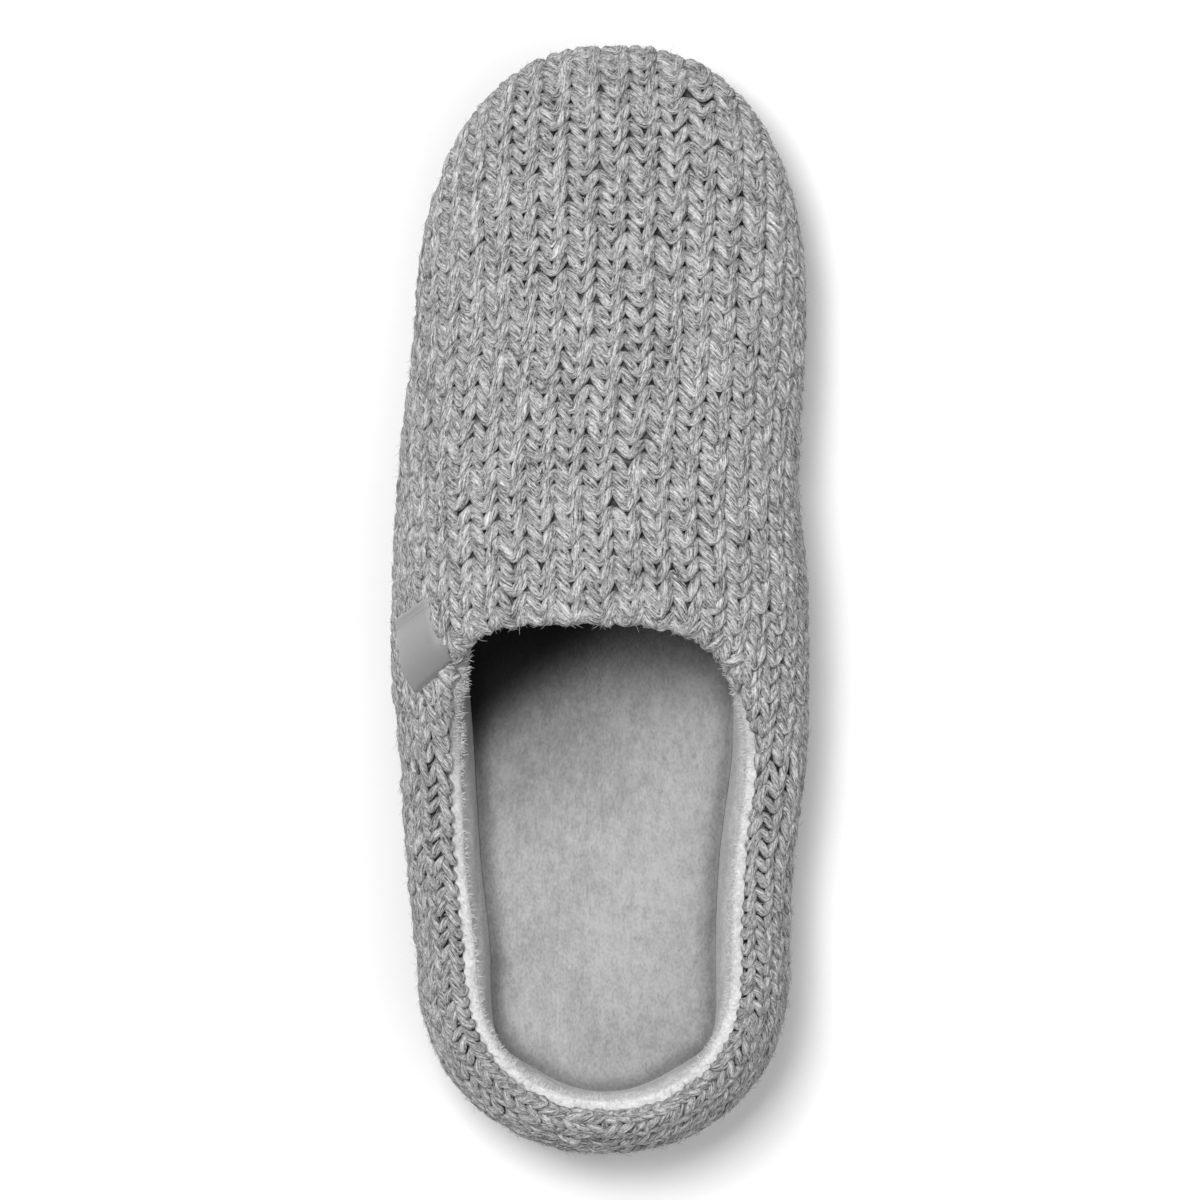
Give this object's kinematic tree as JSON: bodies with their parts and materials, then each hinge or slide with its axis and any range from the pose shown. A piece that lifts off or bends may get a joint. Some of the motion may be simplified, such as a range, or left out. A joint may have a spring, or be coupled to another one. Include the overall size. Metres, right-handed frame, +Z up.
{
  "type": "knitted slipper",
  "caption": "Closed-back house slipper with a chunky knitted upper, rolled collar, plush footbed and a moulded rubber sole.",
  "frame": {"origin": "on the floor, under the middle of the slipper's box", "axes": "+Y from heel to toe, +X towards the inner (big-toe) side, +Z up from the floor"},
  "size_m": [0.1078, 0.2854, 0.0754],
  "materials": {
    "knit": "chunky heather knit",
    "plush": "short soft pile",
    "rubber": "matte",
    "ribbon": "satin weave"
  },
  "bodies": {
    "root": {"outsole": "rubber", "insole": "plush", "upper": "knit", "woven_tab": "ribbon"}
  },
  "joints": []
}
